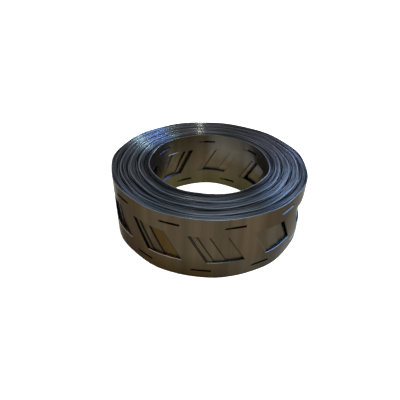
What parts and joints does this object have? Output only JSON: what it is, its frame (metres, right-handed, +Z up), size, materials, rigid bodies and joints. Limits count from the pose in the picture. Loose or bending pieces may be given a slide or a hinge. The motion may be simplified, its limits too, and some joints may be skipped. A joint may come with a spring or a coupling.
{
  "type": "coil of punched nickel-plated strip",
  "caption": "Coil of thin nickel-plated steel strip lying with its bore upright, punched with leaning windows and edge slots for joining two staggered rows of round cells.",
  "frame": {"origin": "centre of the bore at the coil's lower end, on the floor that it lies on", "axes": "+Z up along the bore, -Y towards the side that the picture shows"},
  "size_m": [0.07, 0.07, 0.0236],
  "materials": {
    "nickel_strip": "smooth cold-rolled nickel plate, satin to bright, with bare slit edges on the coil's ends"
  },
  "bodies": {
    "root": {"strip_coil": "nickel_strip"}
  },
  "joints": []
}
